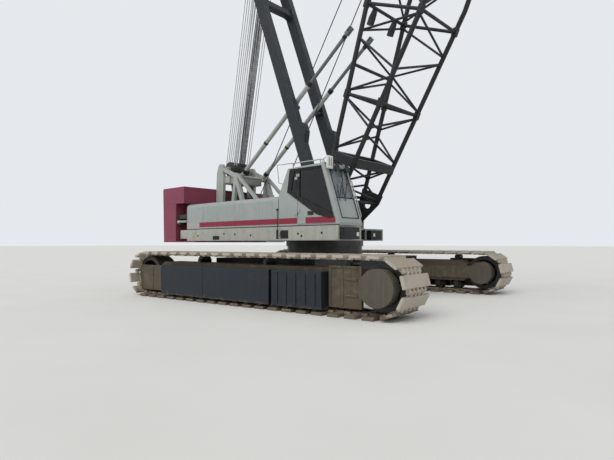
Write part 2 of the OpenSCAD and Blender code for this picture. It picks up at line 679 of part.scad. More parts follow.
// Hook block under the boom point
rope_r = 13;
head = [foot_x, 0, foot_z] + turned([boom_len, 0, -point_drop], boom_angle);
rope_x = head.x + sheave_r + rope_r + seat_gap;
module on_hook() upper() translate([rope_x, 0, head.z]) children();
module hook_block() color("#6d2b40") on_hook() {
    for (y = [-170, 140]) block([-200, y, -hook_drop - 380], [200, y + 30, -hook_drop + 260]);
    across(0, -hook_drop, 45, -170, 170);
    for (y = [-90, 30]) across(0, -hook_drop, 210, y, y + 60);
    block([-120, -170, -hook_drop - 380], [120, 170, -hook_drop - 260]);
    for (y = [-120, 120]) bar([0, y, -hook_drop], [0, y, 0], 2 * rope_r, 12);
}
module hook() color("#5a4a30") on_hook() translate([0, 0, -hook_drop - 380 - seat_gap]) {
    translate([0, 0, -160]) cylinder(h = 160, r = 50);
    translate([0, 0, -230]) rotate([90, 0, 0]) rotate_extrude() translate([90, 0]) circle(38);
}

track_right();
track_left();
frame_right();
frame_left();
drive_wheels();
idler_wheels();
track_rollers();
side_boxes();
drive_covers();
carbody();
swing_ring();
turntable();
deck();
house_right();
house_left();
engine();
counterweight();
gantry();
gantry_sheaves();
winch_drums();
winch_frames();
foot_pins();
cab_shell();
cab_glass();
seat();
console();
cab_mirror();
step_boxes();
roof_rail();
cab_door();
door_glass();
boom_butt();
boom_insert();
boom_tip();
boom_sheaves();
pendants();
mast();
mast_sheaves();
stop_tubes();
stop_rods();
hook_block();
hook();
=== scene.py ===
import bpy, bmesh, math
from mathutils import Matrix, Vector


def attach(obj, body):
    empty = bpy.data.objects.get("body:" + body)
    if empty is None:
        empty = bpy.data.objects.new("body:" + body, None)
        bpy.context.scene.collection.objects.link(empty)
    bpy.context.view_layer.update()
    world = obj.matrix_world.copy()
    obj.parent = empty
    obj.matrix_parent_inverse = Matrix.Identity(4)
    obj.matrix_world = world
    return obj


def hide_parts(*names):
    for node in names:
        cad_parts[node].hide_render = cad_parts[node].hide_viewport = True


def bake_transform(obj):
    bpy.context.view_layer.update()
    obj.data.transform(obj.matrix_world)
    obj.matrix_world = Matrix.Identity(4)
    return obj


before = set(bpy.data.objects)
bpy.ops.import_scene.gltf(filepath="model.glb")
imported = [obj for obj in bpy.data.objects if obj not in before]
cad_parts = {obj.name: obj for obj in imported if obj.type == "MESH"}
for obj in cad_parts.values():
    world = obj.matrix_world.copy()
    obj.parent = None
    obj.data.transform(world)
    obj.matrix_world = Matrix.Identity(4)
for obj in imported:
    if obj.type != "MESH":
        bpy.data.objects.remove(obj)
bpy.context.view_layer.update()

# Floor, light and camera. A pale sealed floor under an even white sky, with one broad soft lamp from
# the upper left, as under thin cloud. The camera stands low beside the front right corner of the tracks.
FLOOR_W = 400
SKY_ON_OBJECT, SKY_SEEN = 0.62, 0.92
CAMERA_AT = (6.822, -9.648, 1.224)
CAMERA_UP, CAMERA_TURN = 1.53, 37.34
FOCAL_MM, SENSOR_MM = 28.56, 36

def linear(hex_colour):
    """Linear RGBA of an sRGB hex colour."""
    parts = [int(hex_colour[i:i + 2], 16) / 255 for i in (1, 3, 5)]
    return tuple(c / 12.92 if c <= 0.04045 else ((c + 0.055) / 1.055) ** 2.4 for c in parts) + (1.0,)

def add(tree, kind, inputs=None, **settings):
    """Adds a node with its settings; an input is a value, or the output socket that feeds it."""
    node = tree.nodes.new(kind)
    for name, value in settings.items():
        setattr(node, name, value)
    for name, value in (inputs or {}).items():
        if isinstance(value, bpy.types.NodeSocket):
            tree.links.new(value, node.inputs[name])
        else:
            node.inputs[name].default_value = value
    return node

def deselect():
    bpy.ops.object.select_all(action="DESELECT")

def seat(obj):
    """Puts a finished piece's place into its mesh, with its object at the origin."""
    deselect()
    obj.select_set(True)
    bpy.context.view_layer.objects.active = obj
    bpy.ops.object.transform_apply(location=True, rotation=True, scale=True)
    return obj

deselect()
bpy.ops.mesh.primitive_plane_add(size=FLOOR_W)
floor = seat(bpy.context.object)
floor.name = "floor"
# Sealed concrete, trowelled: matt and pale, with faint clouds about 1.7 m wide that keep it from being blank.
sealed_floor = bpy.data.materials.new("sealed concrete floor")
sealed_floor.use_nodes = True
tree = sealed_floor.node_tree
surface = tree.nodes["Principled BSDF"]
surface.inputs["Roughness"].default_value = 0.9
place = add(tree, "ShaderNodeTexCoord")
cloud = add(tree, "ShaderNodeTexNoise", {"Vector": place.outputs["Object"], "Scale": 0.6, "Detail": 3.0})
tone = add(tree, "ShaderNodeMix", {"Factor": cloud.outputs["Fac"], 6: linear("#dcdad4"),
                                   7: linear("#e6e4df")}, data_type="RGBA")
tree.links.new(tone.outputs[2], surface.inputs["Base Color"])
floor.data.materials.append(sealed_floor)

world = bpy.data.worlds.new("even sky")
world.use_nodes = True
bpy.context.scene.world = world
tree = world.node_tree
rays = add(tree, "ShaderNodeLightPath")
seen = rays.outputs["Is Camera Ray"]
for kind in ("Is Glossy Ray", "Is Transmission Ray"):
    seen = add(tree, "ShaderNodeMath", {0: seen, 1: rays.outputs[kind]}, operation="MAXIMUM").outputs[0]
strength = add(tree, "ShaderNodeMix", {"Factor": seen, 2: SKY_ON_OBJECT, 3: SKY_SEEN}, data_type="FLOAT")
sky = tree.nodes["Background"]
sky.inputs["Color"].default_value = linear("#eef2f6")
tree.links.new(strength.outputs[0], sky.inputs["Strength"])

lamp = bpy.data.lights.new("broad soft lamp", "SUN")
lamp.energy = 1.5
lamp.angle = math.radians(50)
lamp_object = bpy.data.objects.new("broad soft lamp", lamp)
lamp_object.rotation_euler = (math.radians(40), 0, math.radians(5))
bpy.context.scene.collection.objects.link(lamp_object)

lens = bpy.data.cameras.new("camera")
lens.lens = FOCAL_MM
lens.sensor_width = SENSOR_MM
lens.clip_end = 500
camera = bpy.data.objects.new("camera", lens)
camera.location = CAMERA_AT
camera.rotation_euler = (math.radians(90 + CAMERA_UP), 0, math.radians(CAMERA_TURN))
bpy.context.scene.collection.objects.link(camera)
bpy.context.scene.camera = camera
bpy.context.scene.view_settings.view_transform = "Standard"

# Tracks. Cast steel shoes with a flat worn pad, five hinge fingers on one edge and four on the other,
# joined by steel pins driven in from the side; pale dry mud lies on the pads and packs the joints.
SHOES = 46
WHEEL_X, WHEEL_Z, PIN_LINE_R = 3.085, 0.515, 0.455
PAD_L, SHOE_W, PAD_T, PIN_TO_FACE = 0.215, 0.95, 0.055, 0.060
FINGERS, FINGER_W, FINGER_GAP, FINGER_R, FINGER_ROOT = 9, 0.064, 0.006, 0.03, 0.075
GUIDE_YS, GUIDE_HALF_L, GUIDE_W = (-0.235, 0.175), 0.085, 0.06
PIN_HALF, PIN_R = 0.33, 0.013
TRACK_Y = 2.515
SMOOTH_BELOW = 35
run = 2 * WHEEL_X
pitch = (2 * run + 2 * math.pi * PIN_LINE_R) / SHOES

# Sizes of a paint's patterns, as waves per metre: faded clouds about 700 mm wide, dust patches 170 mm, and
# rain streaks 40 mm wide and 800 mm long. The orange peel is drawn at 11 mm, as the real 2 mm wouldn't show.
CLOUDS, PATCHES, PEEL = 1.4, 6.0, 90.0
STREAKS = (24.0, 24.0, 1.2)
MUD = "#5d5040"

def weathered_enamel(name, paint, faded, dust="#9a8f7c", dust_share=0.25, mud_top=0.0, rough=0.5,
                     streaks=0.3):
    """Paint that fades in clouds, with dust on its flats, streaks down its sides and mud up to a height."""
    enamel = bpy.data.materials.new(name)
    enamel.use_nodes = True
    tree = enamel.node_tree
    surface = tree.nodes["Principled BSDF"]
    place = add(tree, "ShaderNodeTexCoord")
    level = add(tree, "ShaderNodeSeparateXYZ", {0: place.outputs["Object"]})
    clouds = add(tree, "ShaderNodeTexNoise", {"Vector": place.outputs["Object"], "Scale": CLOUDS,
                                              "Detail": 5.0})
    base = add(tree, "ShaderNodeMix", {"Factor": clouds.outputs["Fac"], 6: linear(paint), 7: linear(faded)},
               data_type="RGBA")
    long_way = add(tree, "ShaderNodeMapping", {"Vector": place.outputs["Object"], "Scale": STREAKS})
    runs = add(tree, "ShaderNodeTexNoise", {"Vector": long_way.outputs[0], "Scale": 1.0, "Detail": 3.0})
    runs_mask = add(tree, "ShaderNodeMapRange", {"Value": runs.outputs["Fac"], "From Min": 0.5,
                                                 "From Max": 0.75, "To Max": streaks})
    streaked = add(tree, "ShaderNodeMix", {"Factor": runs_mask.outputs[0], 6: base.outputs[2],
                                           7: linear(dust)}, data_type="RGBA")
    patches = add(tree, "ShaderNodeTexNoise", {"Vector": place.outputs["Object"], "Scale": PATCHES,
                                               "Detail": 8.0, "Roughness": 0.65})
    up = add(tree, "ShaderNodeSeparateXYZ", {0: place.outputs["Normal"]})
    flat = add(tree, "ShaderNodeMapRange", {"Value": up.outputs[2], "From Min": 0.3, "From Max": 0.9,
                                            "To Max": 0.5})
    settled = add(tree, "ShaderNodeMath", {0: patches.outputs["Fac"], 1: flat.outputs[0]}, operation="ADD")
    settled = add(tree, "ShaderNodeMapRange", {"Value": settled.outputs[0], "From Min": 0.5, "From Max": 0.85,
                                               "To Max": dust_share * 2})
    dusty = add(tree, "ShaderNodeMix", {"Factor": settled.outputs[0], 6: streaked.outputs[2],
                                        7: linear(dust)}, data_type="RGBA")
    ragged = add(tree, "ShaderNodeMath", {0: patches.outputs["Fac"], 1: 0.5, 2: level.outputs[2]},
                 operation="MULTIPLY_ADD")
    mud = add(tree, "ShaderNodeMapRange", {"Value": ragged.outputs[0], "From Min": mud_top + 0.32,
                                           "From Max": mud_top + 0.18, "To Max": 0.9})
    muddy = add(tree, "ShaderNodeMix", {"Factor": mud.outputs[0], 6: dusty.outputs[2], 7: linear(MUD)},
                data_type="RGBA")
    tree.links.new(muddy.outputs[2], surface.inputs["Base Color"])
    matte = add(tree, "ShaderNodeMapRange", {"Value": patches.outputs["Fac"], "From Min": 0.3,
                                             "From Max": 0.7, "To Min": rough - 0.08,
                                             "To Max": rough + 0.22})
    tree.links.new(matte.outputs[0], surface.inputs["Roughness"])
    peel = add(tree, "ShaderNodeTexNoise", {"Vector": place.outputs["Object"], "Scale": PEEL, "Detail": 2.0})
    bump = add(tree, "ShaderNodeBump", {"Height": peel.outputs["Fac"], "Strength": 0.12, "Distance": 0.002})
    tree.links.new(bump.outputs[0], surface.inputs["Normal"])
    return enamel

def clothe(obj, material):
    obj.data.materials.clear()
    obj.data.materials.append(material)

def block(lo, hi, chamfer=0.0, segments=1):
    """A box between two corners with its edges broken in edit mode."""
    deselect()
    bpy.ops.mesh.primitive_cube_add(size=1, location=[(l + h) / 2 for l, h in zip(lo, hi)])
    box = bpy.context.object
    box.scale = [h - l for l, h in zip(lo, hi)]
    seat(box)
    if chamfer:
        bpy.ops.object.mode_set(mode="EDIT")
        bpy.ops.mesh.select_all(action="SELECT")
        bpy.ops.mesh.bevel(offset=chamfer, segments=segments, affect="EDGES")
        bpy.ops.object.mode_set(mode="OBJECT")
    return box

def rod(p, q, radius, sides=12, chamfer=0.0):
    """A round bar between two points, its end edges broken where a chamfer is given."""
    p, q = Vector(p), Vector(q)
    deselect()
    bpy.ops.mesh.primitive_cylinder_add(vertices=sides, radius=radius, depth=(q - p).length,
                                        location=(p + q) / 2,
                                        rotation=(q - p).to_track_quat("Z", "Y").to_euler())
    bar = bpy.context.object
    if chamfer:
        bpy.ops.object.mode_set(mode="EDIT")
        bpy.ops.mesh.select_all(action="DESELECT")
        mesh = bmesh.from_edit_mesh(bar.data)
        for face in mesh.faces:
            face.select = abs(face.normal.z) > 0.99
        mesh.select_flush(True)
        bmesh.update_edit_mesh(bar.data)
        bpy.ops.mesh.bevel(offset=chamfer, segments=1, affect="EDGES")
        bpy.ops.object.mode_set(mode="OBJECT")
    return seat(bar)

def join(name, parts):
    """Joins parts into one piece."""
    deselect()
    for part in parts:
        part.select_set(True)
    bpy.context.view_layer.objects.active = parts[0]
    bpy.ops.object.join()
    piece = seat(bpy.context.object)
    piece.name = name
    return piece

def moved(obj, matrix):
    """Moves a piece and puts its new place into its mesh."""
    obj.matrix_world = matrix @ obj.matrix_world
    return seat(obj)

def finish_piece(piece, material, body):
    """Gives a piece its material and its body, with smooth shading on its round faces."""
    deselect()
    piece.select_set(True)
    bpy.context.view_layer.objects.active = piece
    bpy.ops.object.shade_smooth_by_angle(angle=math.radians(SMOOTH_BELOW))
    clothe(piece, material)
    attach(piece, body)
    return piece

def track_shoe():
    """One shoe about the middle between its two pins, ground face up."""
    top, low = PIN_TO_FACE, PIN_TO_FACE - PAD_T
    parts = [block((-PAD_L / 2, -SHOE_W / 2, low), (PAD_L / 2, SHOE_W / 2, top), 0.009)]
    for i in range(FINGERS):
        y = (i - FINGERS // 2) * (FINGER_W + FINGER_GAP)
        side = 1 if i % 2 == 0 else -1
        x = side * pitch / 2
        root = x - side * FINGER_ROOT
        parts.append(rod((x, y - FINGER_W / 2, 0), (x, y + FINGER_W / 2, 0), FINGER_R, 10))
        parts.append(block((min(x, root), y - FINGER_W / 2 + 0.004, -0.024),
                           (max(x, root), y + FINGER_W / 2 - 0.004, 0.043)))
    parts.append(rod((pitch / 2, -PIN_HALF, 0), (pitch / 2, PIN_HALF, 0), PIN_R, 8))
    for y in GUIDE_YS:
        parts.append(block((-GUIDE_HALF_L, y, -0.028), (GUIDE_HALF_L, y + GUIDE_W, low + 0.005)))
    return join("shoe", parts)

def pin_at(i):
    """Hinge pin number i on the line round both wheels."""
    s = (i % SHOES) * pitch
    arc = math.pi * PIN_LINE_R
    if s < run:
        return Vector((s - WHEEL_X, 0, WHEEL_Z + PIN_LINE_R))
    if s < run + arc:
        a = (s - run) / PIN_LINE_R
        return Vector((WHEEL_X + PIN_LINE_R * math.sin(a), 0, WHEEL_Z + PIN_LINE_R * math.cos(a)))
    if s < 2 * run + arc:
        return Vector((WHEEL_X - (s - run - arc), 0, WHEEL_Z - PIN_LINE_R))
    a = (s - 2 * run - arc) / PIN_LINE_R
    return Vector((-WHEEL_X - PIN_LINE_R * math.sin(a), 0, WHEEL_Z - PIN_LINE_R * math.cos(a)))

# Dry mud on worn cast steel: chalky and pale where it has dried, with no gloss, and darker near the ground.
pad_steel = weathered_enamel("dry mud on a worn cast steel shoe", "#aca295", "#beb5a8", "#8f8370", 0.3, 0.12,
                             0.8, 0.1)
shoe = track_shoe()
for side, name in ((-1, "track_right"), (1, "track_left")):
    links = []
    for i in range(SHOES):
        p, q = pin_at(i), pin_at(i + 1)
        turn = math.atan2(q.z - p.z, q.x - p.x)
        link = shoe.copy()
        link.data = shoe.data.copy()
        bpy.context.scene.collection.objects.link(link)
        middle = (p + q) / 2 + Vector((0, side * TRACK_Y, 0))
        links.append(moved(link, Matrix.Translation(middle) @ Matrix.Rotation(-turn, 4, "Y")))
    track = finish_piece(join(name + "_shoes", links), pad_steel, "lower")
    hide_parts(name)
bpy.data.objects.remove(shoe)

# Track frames. Welded steel beams carry cast wheels and rollers on greased axles, with closed boxes bolted to
# the outer face; flame-cut plates with welded ribs close the ends beside the drive cover and the idler. Rows
# of plates and ribs are their ends in x and in z.
END_IN, END_OUT, RIB_IN, RIB_OUT = 2.74, 2.80, 2.79, 2.815
END_PLATES = ((2.07, 2.72, 0.14, 0.84), (-3.34, -2.36, 0.14, 0.71))
END_RIBS = ((2.07, 2.12, 0.14, 0.84), (2.33, 2.37, 0.16, 0.82), (2.66, 2.72, 0.14, 0.84),
            (2.40, 2.64, 0.60, 0.64), (2.40, 2.64, 0.33, 0.36), (2.12, 2.66, 0.14, 0.18),
            (2.12, 2.66, 0.80, 0.84), (-3.34, -3.29, 0.14, 0.71), (-2.92, -2.88, 0.16, 0.69),
            (-2.42, -2.36, 0.14, 0.71))

def paint_nodes(material, *names):
    for name in names:
        clothe(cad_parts[name], material)

# Dried mud over cast steel: brown and quite matt, the metal only guessed at.
mud_steel = weathered_enamel("dried mud on cast steel", "#4a4338", "#5c5344", "#857a66", 0.35, 0.3, 0.8)
# Olive grey enamel under mud: a dull cover that hardly parts from the dirt about it.
cover_enamel = weathered_enamel("olive grey enamel under mud", "#47423a", "#544c40", "#6f6553", 0.25, 0.15)
# Navy enamel, sprayed: nearly black, with a grey brown film of dust near the ground.
navy_enamel = weathered_enamel("navy enamel", "#09121b", "#101b26", "#5d5b52", 0.16, 0.08, streaks=0.06)
# Greased cast steel: near black and a little smoother than paint, dulled by the dust that sticks to it.
greased = weathered_enamel("greased steel", "#22231f", "#2d2c28", "#4a463c", 0.15, 0.0, 0.4)
# Black enamel, sprayed: deep black with a satin edge and a little grey dust on the flats.
black_enamel = weathered_enamel("black enamel", "#090b0d", "#101315", "#33322e", 0.08, streaks=0.1)

paint_nodes(mud_steel, "frame_right", "frame_left")
paint_nodes(cover_enamel, "drive_covers")
paint_nodes(navy_enamel, "side_boxes")
paint_nodes(greased, "drive_wheels", "idler_wheels", "track_rollers", "swing_ring", "turntable")
paint_nodes(black_enamel, "carbody")
ends = []
for side in (-1, 1):
    for rows, inner, outer, chamfer in ((END_PLATES, END_IN, END_OUT, 0.006),
                                        (END_RIBS, RIB_IN, RIB_OUT, 0.004)):
        y0, y1 = sorted((side * inner, side * outer))
        ends += [block((x0, y0, z0), (x1, y1, z1), chamfer) for x0, x1, z0, z1 in rows]
finish_piece(join("frame_end_plates", ends), mud_steel, "lower")

# Deck. Folded plate over welded girders, with a pressed skirt; its access slot, hose recess and bolt holes
# are thin dark plates and discs, painted shade. A spring latch closes the seam of the house, and black step
# boxes carry blank white reflectors.
SLEW = math.radians(5.5)
UPPER = Matrix.Rotation(-SLEW, 4, "Z")
FLANK = 1.577
SKIRT_OPENINGS = ((-2.35, -2.09, 1.305, 1.40), (-0.04, 0.03, 1.31, 1.515), (0.09, 0.33, 1.32, 1.50))
BOLT_HOLES = ((-3.0, 1.41), (-1.475, 1.43), (0.62, 1.42), (0.72, 1.37), (1.28, 1.43), (-0.9, 1.40),
              (-1.9, 1.45))
BOLT_HOLE_R, LATCH_R, LATCH_BAR_R = 0.026, 0.022, 0.006
RIB_XS, RIB_W = (-2.7, -1.1, 0.9), 0.05
END_X, END_Z, END_YS = (-3.82, -3.495), (1.335, 1.57), ((-FLANK, -1.46), (1.46, FLANK))

def fit(name, parts, material, body="upper", place=UPPER):
    """Joins parts, turns them with the upper works into their place and finishes the piece."""
    return finish_piece(moved(join(name, parts), place), material, body)

def skirt_plate(x0, x1, z0, z1, depth=0.006):
    """A thin plate on the right flank."""
    return block((x0, -FLANK - depth, z0), (x1, -FLANK + 0.004, z1), 0.003)

def pipe(points, radius, closed=False, sides=2, order=2):
    """A round bar or hose along points, straight between them, or curved where the order is 3 or more."""
    deselect()
    bpy.ops.curve.primitive_nurbs_path_add()
    path = bpy.context.object
    path.data.splines.clear()
    spline = path.data.splines.new("POLY" if order == 2 else "NURBS")
    spline.points.add(len(points) - 1)
    for point, place in zip(spline.points, points):
        point.co = (*place, 1.0)
    spline.order_u = order
    spline.use_endpoint_u = not closed
    spline.use_cyclic_u = closed
    path.data.resolution_u = 1 if order == 2 else 6
    path.data.bevel_depth = radius
    path.data.bevel_resolution = sides
    path.data.use_fill_caps = not closed
    bpy.ops.object.convert(target="MESH")
    return seat(bpy.context.object)

# Beige grey enamel, sprayed: a warm satin that shows the dust on its flats.
deck_enamel = weathered_enamel("beige grey enamel", "#abaca2", "#b7b7ac", "#7a7462", 0.3)
# Black rubber, moulded: flat black with almost no gloss, greyed a little by dust.
rubber = weathered_enamel("black rubber", "#151515", "#1d1d1c", "#4a4843", 0.08, rough=0.7, streaks=0.05)
# White plastic, moulded: a soft even white, a little yellow with dust.
plain_white = weathered_enamel("moulded white plastic", "#d9dad6", "#e2e2de", "#b9b6aa", 0.1)

paint_nodes(deck_enamel, "deck")
paint_nodes(black_enamel, "step_boxes")
# The skirt's openings and bolt holes are painted shade: thin dark plates and discs in black rubber, joined
# with the latch's real knob and bar.
latch_and_painted_shade_parts = [skirt_plate(*row) for row in SKIRT_OPENINGS]
for x, z in BOLT_HOLES:
    latch_and_painted_shade_parts.append(rod((x, -FLANK - 0.003, z), (x, -FLANK + 0.004, z), BOLT_HOLE_R, 12, 0.001))
latch_and_painted_shade_parts.append(rod((0.0, -FLANK - 0.03, 1.955), (0.0, -FLANK + 0.004, 1.955), LATCH_R, 12, 0.005))
latch_and_painted_shade_parts.append(pipe([(0.0, -FLANK - 0.008, 1.95), (0.0, -FLANK - 0.008, 1.50)], LATCH_BAR_R, sides=1))
fit("skirt_latch_and_painted_shade", latch_and_painted_shade_parts, rubber)
light_parts = [skirt_plate(1.66, 1.708, 1.30, 1.515, 0.004),
               pipe([(0.04, -FLANK - 0.009, 1.335), (0.10, -FLANK - 0.009, 1.50)], 0.012, sides=1)]
light_parts += [skirt_plate(x, x + RIB_W, 1.285, 1.515, 0.003) for x in RIB_XS]
fit("skirt_stiffeners", light_parts, deck_enamel)
rear_ends = [block((END_X[0], y0, END_Z[0]), (END_X[1], y1, END_Z[1]), 0.012, 2) for y0, y1 in END_YS]
fit("skirt_rear_ends", rear_ends, deck_enamel)
reflectors = [block((1.848, -1.17, 1.36), (1.853, -1.09, 1.44), 0.002),
              block((0.758, 0.95, 1.38), (0.763, 1.03, 1.46), 0.002)]
fit("reflectors", reflectors, plain_white)

# Houses. Light grey sheet steel covers in panels with 10 mm joints, with a dark band along their foot where
# they meet the deck, and a crimson stripe along the flank that fades out towards the rear.
STRIPE, FADED_STRIPE, SEAM = (1.63, 1.755), (1.6, 1.74), (1.57, 1.598)
STRIPE_RED, STRIPE_PINK, SEAM_BLACK, JOINT_GREY = "#8c2038", "#b9a8aa", "#191a1a", "#6a6e6b"
PANEL_JOINTS, JOINT_HALF = (-2.9, -2.25, -1.63, -1.32, -0.75, -0.3), 0.005
WARM_GREY = ("#9ba3a0", "#a7aeab", "#77746a", 0.12)

def bands(tree, value, edges, softness):
    """1 where a value in metres lies between the two edges of any pair, else 0."""
    total = 0.0
    for low, high in edges:
        rise = add(tree, "ShaderNodeMapRange", {"Value": value, "From Min": low - softness,
                                                "From Max": low + softness})
        fall = add(tree, "ShaderNodeMapRange", {"Value": value, "From Min": high + softness,
                                                "From Max": high - softness})
        band = add(tree, "ShaderNodeMath", {0: rise.outputs[0], 1: fall.outputs[0]}, operation="MULTIPLY")
        total = add(tree, "ShaderNodeMath", {0: total, 1: band.outputs[0]}, operation="MAXIMUM").outputs[0]
    return total

def overpaint(material, colour, heights=(), lengths=(), flanks_only=True, softness=0.0015, cover=1.0):
    """Lays a second colour over a paint, within the given heights and lengths, as pairs in metres."""
    tree = material.node_tree
    surface = tree.nodes["Principled BSDF"]
    under = surface.inputs["Base Color"].links[0].from_socket
    place = add(tree, "ShaderNodeTexCoord")
    at = add(tree, "ShaderNodeSeparateXYZ", {0: place.outputs["Object"]})
    masks = [bands(tree, at.outputs[axis], edges, softness)
             for axis, edges in ((2, heights), (0, lengths)) if edges]
    if flanks_only:
        faces = add(tree, "ShaderNodeSeparateXYZ", {0: place.outputs["Normal"]})
        across = add(tree, "ShaderNodeMath", {0: faces.outputs[1]}, operation="ABSOLUTE")
        flank = add(tree, "ShaderNodeMath", {0: across.outputs[0], 1: 0.9}, operation="GREATER_THAN")
        masks.append(flank.outputs[0])
    share = cover
    for mask in masks:
        share = add(tree, "ShaderNodeMath", {0: mask, 1: share}, operation="MULTIPLY").outputs[0]
    layer = add(tree, "ShaderNodeMix", {"Factor": share, 6: under, 7: linear(colour)}, data_type="RGBA")
    tree.links.new(layer.outputs[2], surface.inputs["Base Color"])

# Warm light grey enamel, sprayed: a satin grey with thin rain streaks, panel joints and the stripe in it.
house_enamel = weathered_enamel("warm light grey enamel", *WARM_GREY, streaks=0.2)
overpaint(house_enamel, JOINT_GREY, lengths=[(x - JOINT_HALF, x + JOINT_HALF) for x in PANEL_JOINTS],
          softness=0.003, cover=0.45)
overpaint(house_enamel, STRIPE_RED, [STRIPE], [(-3.07, 0.05)])
overpaint(house_enamel, STRIPE_PINK, [FADED_STRIPE], [(-3.73, -3.1)], cover=0.6)
overpaint(house_enamel, SEAM_BLACK, [SEAM], cover=0.9)
paint_nodes(house_enamel, "house_right", "house_left")

# Counterweight. Cast slabs stacked behind the deck, with an inset middle block and toes under the skirt; dark
# forged eyes and a grey lever join them to the deck, by which the machine lowers its own weights.
SLAB_JOINTS = [(1.398, 1.405), (1.838, 1.845), (2.286, 2.294)]
MAROON = ("#7c2e46", "#8b3c54", "#6f5a50", 0.12)
WEIGHT_FACE, EYE_END = -3.93, -3.505
TOE_YS, TOE_W = (-1.65, 1.40), 0.25

def side_plate(outline, y0, y1, chamfer=0.003):
    """A flat plate cut to an outline of the side view, its edges broken."""
    deselect()
    bpy.ops.mesh.primitive_circle_add(vertices=len(outline), radius=1, fill_type="NGON")
    sheet = bpy.context.object
    for vertex, (x, z) in zip(sheet.data.vertices, outline):
        vertex.co = (x, y1, z)
    bpy.ops.object.mode_set(mode="EDIT")
    bpy.ops.mesh.select_all(action="SELECT")
    bpy.ops.mesh.extrude_region_move(TRANSFORM_OT_translate={"value": (0, y0 - y1, 0)})
    bpy.ops.mesh.select_all(action="SELECT")
    bpy.ops.mesh.normals_make_consistent(inside=False)
    if chamfer:
        bpy.ops.mesh.bevel(offset=chamfer, segments=1, affect="EDGES")
    bpy.ops.object.mode_set(mode="OBJECT")
    return seat(sheet)

# Maroon enamel, sprayed on castings: a dull wine red with pale streaks and dark lines between the slabs.
weight_enamel = weathered_enamel("maroon enamel of the weights", *MAROON, streaks=0.2)
overpaint(weight_enamel, "#3f1622", SLAB_JOINTS, flanks_only=False, softness=0.003, cover=0.6)
# Light grey enamel, brushed on: paler than the houses, with dust along its upper faces.
grey_enamel = weathered_enamel("light grey enamel", "#a3a8a3", "#b0b5af", "#77746a", 0.15)

paint_nodes(weight_enamel, "counterweight")
middle = [block((WEIGHT_FACE, -1.35, 1.60), (-3.56, 1.35, 2.285), 0.02, 2),
          side_plate([(WEIGHT_FACE, 1.60), (-3.70, 1.60), (WEIGHT_FACE, 1.72)], -1.36, -1.30)]
middle += [block((WEIGHT_FACE, y, 1.248), (-3.05, y + TOE_W, 1.274), 0.004) for y in TOE_YS]
fit("weight_middle", middle, weight_enamel)
eyes = [block((WEIGHT_FACE, -1.60, 1.87), (EYE_END, -1.42, 1.99), 0.012),
        block((WEIGHT_FACE, -1.60, 1.70), (-3.80, -1.45, 1.78), 0.01)]
fit("weight_eyes", eyes, greased)
lever = [block((WEIGHT_FACE, -1.62, 1.775), (EYE_END, -1.45, 1.83), 0.012),
         rod((-3.85, -1.63, 1.80), (-3.85, -1.43, 1.80), 0.045, 16, 0.006)]
fit("weight_levers", lever, grey_enamel)

# Winches. Cast drums in maroon frames hold rows of greased steel rope, laid tight between the flanges, with
# maroon valve blocks and hydraulic fittings bolted to the deck before and behind them. Rows of drums are the
# place of the shaft and the flanges' radius.
DRUMS = ((-0.5, 1.93, 0.25), (-1.4, 1.93, 0.25), (-2.42, 1.85, 0.18))
TURNS, TURN_PITCH, FIRST_TURN_Y, COIL_R, COIL_BELOW_FLANGE = 34, 0.0236, -0.385, 0.0115, 0.049
VALVE_X, VALVE_YS, VALVE_R = -2.84, (-0.3, -0.1, 0.1, 0.3), 0.035

# Maroon enamel, sprayed: the same wine red as the weights, on machined parts and without their lines.
maroon_enamel = weathered_enamel("maroon enamel", *MAROON, streaks=0.2)
# Greased steel rope, laid from bright wires: dark and a little shiny, with no streaks.
rope_steel = weathered_enamel("greased steel rope", "#2a2b2c", "#3a3b3b", "#4a463c", 0.1, rough=0.45,
                              streaks=0.0)

paint_nodes(maroon_enamel, "winch_frames")
paint_nodes(greased, "winch_drums", "engine")
coils = []
for x, z, flange_r in DRUMS:
    for i in range(TURNS):
        deselect()
        bpy.ops.mesh.primitive_torus_add(major_radius=flange_r - COIL_BELOW_FLANGE, minor_radius=COIL_R,
                                         major_segments=24, minor_segments=6, rotation=(math.pi / 2, 0, 0),
                                         location=(x, FIRST_TURN_Y + i * TURN_PITCH, z))
        bpy.ops.object.mode_set(mode="EDIT")
        bpy.ops.transform.resize(value=(1.0, 1.02, 1.0))
        bpy.ops.object.mode_set(mode="OBJECT")
        coils.append(seat(bpy.context.object))
fit("drum_ropes", coils, rope_steel)
valves = [block((-2.95, -0.38, 1.585), (-2.72, 0.38, 2.02), 0.02, 2),
          block((-1.05, -0.30, 1.585), (-0.82, 0.30, 1.95), 0.02, 2)]
valves += [rod((VALVE_X, y, 2.0), (VALVE_X, y, 2.14), VALVE_R, 12, 0.006) for y in VALVE_YS]
fit("valve_blocks", valves, maroon_enamel)

# Gantry. Broad plate legs at the rear, long flat struts that brace the apexes towards the winches, and a grey
# box under a tight bundle of seven cast sheaves; black hydraulic hoses hang between the struts.
REAR_LEG = [(-3.525, 1.58), (-3.30, 1.58), (-3.245, 2.3), (-3.20, 3.0), (-3.245, 3.41), (-3.42, 3.41),
            (-3.50, 3.2), (-3.525, 2.76)]
FRONT_STRUT = [(-2.64, 3.03), (-2.60, 3.09), (-0.90, 1.58), (-1.04, 1.58)]
PLATE_YS, PLATE_T, STIFFENER_YS, STIFFENER_T = (-0.605, 0.515), 0.09, (-0.25, -0.02, 0.21), 0.04
HEAD = Vector((-3.33, 0, 3.33))
HEAD_SHEAVES, HEAD_PITCH, RIM_R, GROOVE_R = 7, 0.085, 0.208, 0.19
HOSE_R = 0.022
HOSES = ((-3.05, -2.75, -0.42, 2.35), (-3.1, -2.6, -0.30, 2.30), (-3.0, -2.5, -0.12, 2.42),
         (-2.95, -2.45, 0.10, 2.36), (-3.08, -2.55, 0.34, 2.40))

